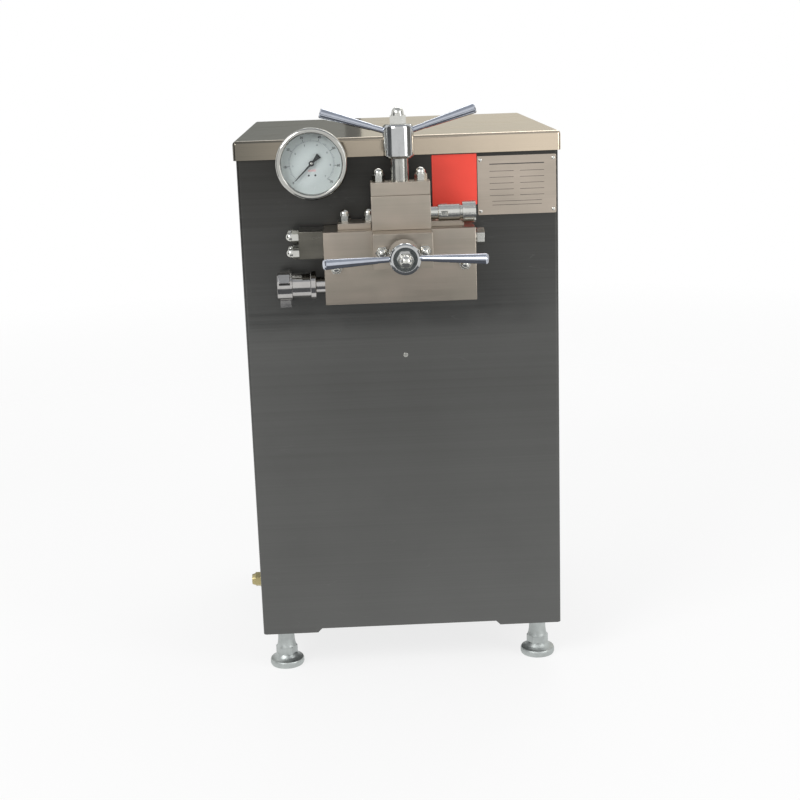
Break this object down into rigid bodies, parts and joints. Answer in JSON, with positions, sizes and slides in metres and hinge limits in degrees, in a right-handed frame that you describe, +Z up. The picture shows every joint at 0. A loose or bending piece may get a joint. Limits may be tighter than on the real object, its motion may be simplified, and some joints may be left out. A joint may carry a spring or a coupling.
{
  "type": "dairy homogenizer",
  "caption": "Floor-standing dairy homogenizer: steel cabinet on levelling feet with a plunger pump block, hand-set pressure valves with lever handles, and a dial gauge on its front.",
  "frame": {"origin": "on the floor, under the middle of the part's bounding box", "axes": "+Z is up, -Y is the front with the pump block and gauge, +X is to the right seen from the front"},
  "size_m": [0.525, 0.833, 0.9451],
  "materials": {
    "panel_steel": "brushed stainless sheet",
    "lid_steel": "satin stainless sheet",
    "block_steel": "ground stainless",
    "dark_steel": "polished stainless",
    "handle_chrome": "polished, slightly blue",
    "bright_steel": "bright",
    "zinc": "zinc grey",
    "frame_paint": "primer",
    "cast_paint": "painted casting",
    "iron": "machined",
    "motor_paint": "satin paint",
    "brass": "plain",
    "packing": "plain",
    "belt": "matt",
    "black_plastic": "matt",
    "dial_white": "matt white",
    "needle_black": "matt black",
    "lens": "clear"
  },
  "bodies": {
    "cabinet": {"front_panel": "panel_steel", "side_panels": "panel_steel", "rear_panel": "panel_steel", "frame": "frame_paint", "oil_drain": "brass", "cable_gland": "black_plastic", "gauge_case": "bright_steel", "gauge_bezel": "bright_steel", "gauge_dial": "dial_white", "gauge_glass": "lens", "gauge_line": "brass", "pump_block": "block_steel", "valve_covers": "block_steel", "end_cap": "dark_steel", "hex_plug": "bright_steel", "inlet_liner": "handle_chrome", "inlet_union_nut": "handle_chrome", "outlet_liner": "handle_chrome", "outlet_union_nut": "handle_chrome", "cap_nuts": "bright_steel", "top_valve_body": "block_steel", "top_bonnet": "block_steel", "front_bonnet": "block_steel", "valve_seats": "bright_steel", "valve_cores": "bright_steel", "top_spring": "bright_steel", "front_spring": "bright_steel", "crankcase": "cast_paint", "crank_bearings": "bright_steel", "packings": "packing", "motor_body": "motor_paint", "drive_belts": "belt"},
    "lid": {"lid": "lid_steel"},
    "foot_front_left": {"foot_front_left": "zinc"},
    "foot_front_right": {"foot_front_right": "zinc"},
    "foot_rear_left": {"foot_rear_left": "zinc"},
    "foot_rear_right": {"foot_rear_right": "zinc"},
    "needle": {"gauge_needle": "needle_black"},
    "suction_balls": {"suction_balls": "bright_steel"},
    "discharge_balls": {"discharge_balls": "bright_steel"},
    "top_plate": {"top_spring_plate": "bright_steel"},
    "top_handwheel": {"top_screw": "bright_steel", "top_hub": "handle_chrome", "top_levers": "handle_chrome", "top_hub_nut": "bright_steel"},
    "front_plate": {"front_spring_plate": "bright_steel"},
    "front_handwheel": {"front_screw": "bright_steel", "front_hub": "handle_chrome", "front_levers": "handle_chrome", "front_hub_nut": "bright_steel"},
    "crank": {"crankshaft": "bright_steel", "crank_pulley": "iron"},
    "rod_left": {"rod_left": "bright_steel"},
    "rod_middle": {"rod_middle": "bright_steel"},
    "rod_right": {"rod_right": "bright_steel"},
    "plunger_left": {"plunger_left": "bright_steel"},
    "plunger_middle": {"plunger_middle": "bright_steel"},
    "plunger_right": {"plunger_right": "bright_steel"},
    "motor_shaft": {"motor_rotor": "bright_steel", "motor_pulley": "iron"}
  },
  "joints": [
    {"name": "lid_lift", "type": "slide", "parent": "cabinet", "child": "lid", "axis": [0, 0, 1], "range_m": [0, 0.1]},
    {"name": "front_left_level", "type": "slide", "parent": "cabinet", "child": "foot_front_left", "axis": [0, 0, -1], "range_m": [0, 0.018]},
    {"name": "front_right_level", "type": "slide", "parent": "cabinet", "child": "foot_front_right", "axis": [0, 0, -1], "range_m": [0, 0.018]},
    {"name": "rear_left_level", "type": "slide", "parent": "cabinet", "child": "foot_rear_left", "axis": [0, 0, -1], "range_m": [0, 0.018]},
    {"name": "rear_right_level", "type": "slide", "parent": "cabinet", "child": "foot_rear_right", "axis": [0, 0, -1], "range_m": [0, 0.018]},
    {"name": "gauge_sweep", "type": "hinge", "parent": "cabinet", "child": "needle", "pos_m": [-0.133, -0.21708, 0.862], "axis": [0, 1, 0], "range_deg": [0, 270], "stiffness_Nm_per_rad": 0.002, "springref_deg": -8.59},
    {"name": "suction_lift", "type": "slide", "parent": "cabinet", "child": "suction_balls", "axis": [0, 0, 1], "range_m": [0, 0.004]},
    {"name": "discharge_lift", "type": "slide", "parent": "cabinet", "child": "discharge_balls", "axis": [0, 0, 1], "range_m": [0, 0.004]},
    {"name": "top_feed", "type": "slide", "parent": "cabinet", "child": "top_plate", "axis": [0, 0, -1], "range_m": [-0.00605, 0.00305], "deforming": ["top_spring"]},
    {"name": "top_turn", "type": "hinge", "parent": "top_plate", "child": "top_handwheel", "pos_m": [0, -0.24008, 0.761], "axis": [0, 0, -1], "range_deg": [-720, 360]},
    {"name": "front_feed", "type": "slide", "parent": "cabinet", "child": "front_plate", "axis": [0, 1, 0], "range_m": [-0.00605, 0.00305], "deforming": ["front_spring"]},
    {"name": "front_turn", "type": "hinge", "parent": "front_plate", "child": "front_handwheel", "pos_m": [0, -0.26208, 0.7345], "axis": [0, 1, 0], "range_deg": [-720, 360]},
    {"name": "crank_spin", "type": "hinge", "parent": "cabinet", "child": "crank", "pos_m": [0, 0.07092, 0.7055], "axis": [1, 0, 0], "continuous": true},
    {"name": "motor_spin", "type": "hinge", "parent": "cabinet", "child": "motor_shaft", "pos_m": [0, 0.20492, 0.22], "axis": [1, 0, 0], "continuous": true},
    {"name": "left_rod_turn", "type": "hinge", "parent": "crank", "child": "rod_left", "pos_m": [-0.067, 0.07092, 0.7155], "axis": [1, 0, 0], "continuous": true},
    {"name": "left_plunger_stroke", "type": "slide", "parent": "cabinet", "child": "plunger_left", "axis": [0, 1, 0], "range_m": [-0.01, 0.01]},
    {"name": "middle_rod_turn", "type": "hinge", "parent": "crank", "child": "rod_middle", "pos_m": [0, 0.06226, 0.7005], "axis": [1, 0, 0], "continuous": true},
    {"name": "middle_plunger_stroke", "type": "slide", "parent": "cabinet", "child": "plunger_middle", "axis": [0, 1, 0], "range_m": [-0.00134, 0.01866]},
    {"name": "right_rod_turn", "type": "hinge", "parent": "crank", "child": "rod_right", "pos_m": [0.067, 0.07958, 0.7005], "axis": [1, 0, 0], "continuous": true},
    {"name": "right_plunger_stroke", "type": "slide", "parent": "cabinet", "child": "plunger_right", "axis": [0, 1, 0], "range_m": [-0.01866, 0.00134]}
  ],
  "couplings": [
    {"joint": "top_feed", "follows": "top_turn", "m_per_rad": 0.00047746},
    {"joint": "front_feed", "follows": "front_turn", "m_per_rad": 0.00047746},
    {"joint": "motor_spin", "follows": "crank_spin", "ratio": 4},
    {"joint": "left_rod_turn", "follows": "crank_spin", "ratio": -1},
    {"joint": "middle_rod_turn", "follows": "crank_spin", "ratio": -1},
    {"joint": "right_rod_turn", "follows": "crank_spin", "ratio": -1}
  ]
}
